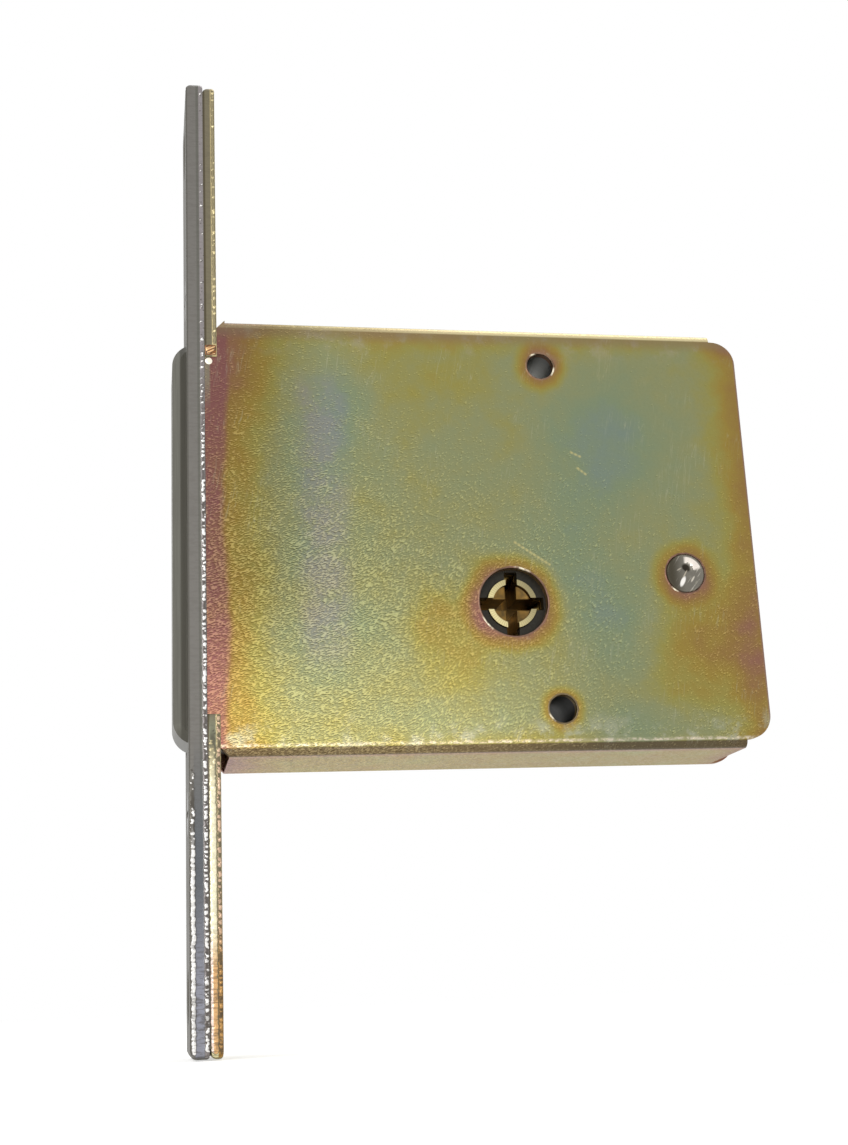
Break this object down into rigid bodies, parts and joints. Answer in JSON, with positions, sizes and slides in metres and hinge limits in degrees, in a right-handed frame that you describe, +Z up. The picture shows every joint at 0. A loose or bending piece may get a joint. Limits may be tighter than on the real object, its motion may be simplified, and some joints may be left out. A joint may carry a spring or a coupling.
{
  "type": "mortice deadlock",
  "caption": "Mortice deadlock with a folded steel case, a long flat forend, a square rack bolt and a cross-keyed cylinder.",
  "frame": {"origin": "centre of the faceplate's front face, on the bolt's line of travel", "axes": "-X the way the bolt shoots, +X into the door, -Y the face with the keyhole, +Z up"},
  "size_m": [0.1015, 0.0203, 0.169],
  "materials": {
    "zinc_yellow": "yellow zinc passivate on pressed steel, iridescent",
    "satin_nickel": "satin nickel plate, sheared edge",
    "bolt_nickel": "nickel plated steel",
    "bright_steel": "turned or pressed bare steel",
    "hardened_steel": "hardened and blackened steel",
    "spring_steel": "spring wire",
    "brass": "turned brass"
  },
  "bodies": {
    "case": {"case_pan": "zinc_yellow", "case_cover": "zinc_yellow", "inner_forend": "zinc_yellow", "outer_faceplate": "satin_nickel", "faceplate_screws": "satin_nickel", "rear_post": "bright_steel", "cover_screw": "zinc_yellow", "upper_sleeve": "bright_steel", "lower_sleeve": "bright_steel", "guide_posts": "bright_steel", "guide_washers": "bright_steel", "drill_plate": "hardened_steel", "cylinder_housing": "brass", "housing_screws": "hardened_steel", "chamber_caps": "brass", "rear_bush": "brass", "driver_springs_top": "spring_steel", "driver_springs_rear": "spring_steel", "driver_springs_bottom": "spring_steel", "driver_springs_front": "spring_steel"},
    "bolt": {"bolt_head": "bolt_nickel", "bolt_tail": "bright_steel", "bolt_rivets": "bright_steel", "hardened_rollers": "hardened_steel", "roller_plugs": "bright_steel"},
    "cylinder_plug": {"plug": "brass", "drive_pinion": "hardened_steel", "retaining_ring": "spring_steel"},
    "drivers_top": {"driver_pins_top": "brass"},
    "key_pins_top": {"key_pins_top": "brass"},
    "drivers_rear": {"driver_pins_rear": "brass"},
    "key_pins_rear": {"key_pins_rear": "brass"},
    "drivers_bottom": {"driver_pins_bottom": "brass"},
    "key_pins_bottom": {"key_pins_bottom": "brass"},
    "drivers_front": {"driver_pins_front": "brass"},
    "key_pins_front": {"key_pins_front": "brass"}
  },
  "joints": [
    {"name": "bolt_slide", "type": "slide", "parent": "case", "child": "bolt", "axis": [-1, 0, 0], "range_m": [0, 0.0235]},
    {"name": "plug_turn", "type": "hinge", "parent": "case", "child": "cylinder_plug", "pos_m": [0.055, 0, -0.0124], "axis": [0, 1, 0], "range_deg": [0, 181]},
    {"name": "driver_lift_top", "type": "slide", "parent": "case", "child": "drivers_top", "axis": [0, 0, 1], "range_m": [0, 0.0012], "stiffness_N_per_m": 60, "springref_m": -0.002, "deforming": ["driver_springs_top"]},
    {"name": "key_pin_drop_top", "type": "slide", "parent": "cylinder_plug", "child": "key_pins_top", "axis": [0, 0, -1], "range_m": [0, 0.0006]},
    {"name": "driver_lift_rear", "type": "slide", "parent": "case", "child": "drivers_rear", "axis": [1, 0, 0], "range_m": [0, 0.0012], "stiffness_N_per_m": 60, "springref_m": -0.002, "deforming": ["driver_springs_rear"]},
    {"name": "key_pin_drop_rear", "type": "slide", "parent": "cylinder_plug", "child": "key_pins_rear", "axis": [-1, 0, 0], "range_m": [0, 0.0006]},
    {"name": "driver_lift_bottom", "type": "slide", "parent": "case", "child": "drivers_bottom", "axis": [0, 0, -1], "range_m": [0, 0.0012], "stiffness_N_per_m": 60, "springref_m": -0.002, "deforming": ["driver_springs_bottom"]},
    {"name": "key_pin_drop_bottom", "type": "slide", "parent": "cylinder_plug", "child": "key_pins_bottom", "axis": [0, 0, 1], "range_m": [0, 0.0006]},
    {"name": "driver_lift_front", "type": "slide", "parent": "case", "child": "drivers_front", "axis": [-1, 0, 0], "range_m": [0, 0.0012], "stiffness_N_per_m": 60, "springref_m": -0.002, "deforming": ["driver_springs_front"]},
    {"name": "key_pin_drop_front", "type": "slide", "parent": "cylinder_plug", "child": "key_pins_front", "axis": [1, 0, 0], "range_m": [0, 0.0006]}
  ],
  "couplings": [
    {"joint": "plug_turn", "follows": "bolt_slide", "rad_per_m": 133.33},
    {"joint": "driver_lift_rear", "follows": "driver_lift_top", "ratio": 1},
    {"joint": "key_pin_drop_rear", "follows": "key_pin_drop_top", "ratio": 1},
    {"joint": "driver_lift_bottom", "follows": "driver_lift_top", "ratio": 1},
    {"joint": "key_pin_drop_bottom", "follows": "key_pin_drop_top", "ratio": 1},
    {"joint": "driver_lift_front", "follows": "driver_lift_top", "ratio": 1},
    {"joint": "key_pin_drop_front", "follows": "key_pin_drop_top", "ratio": 1}
  ]
}
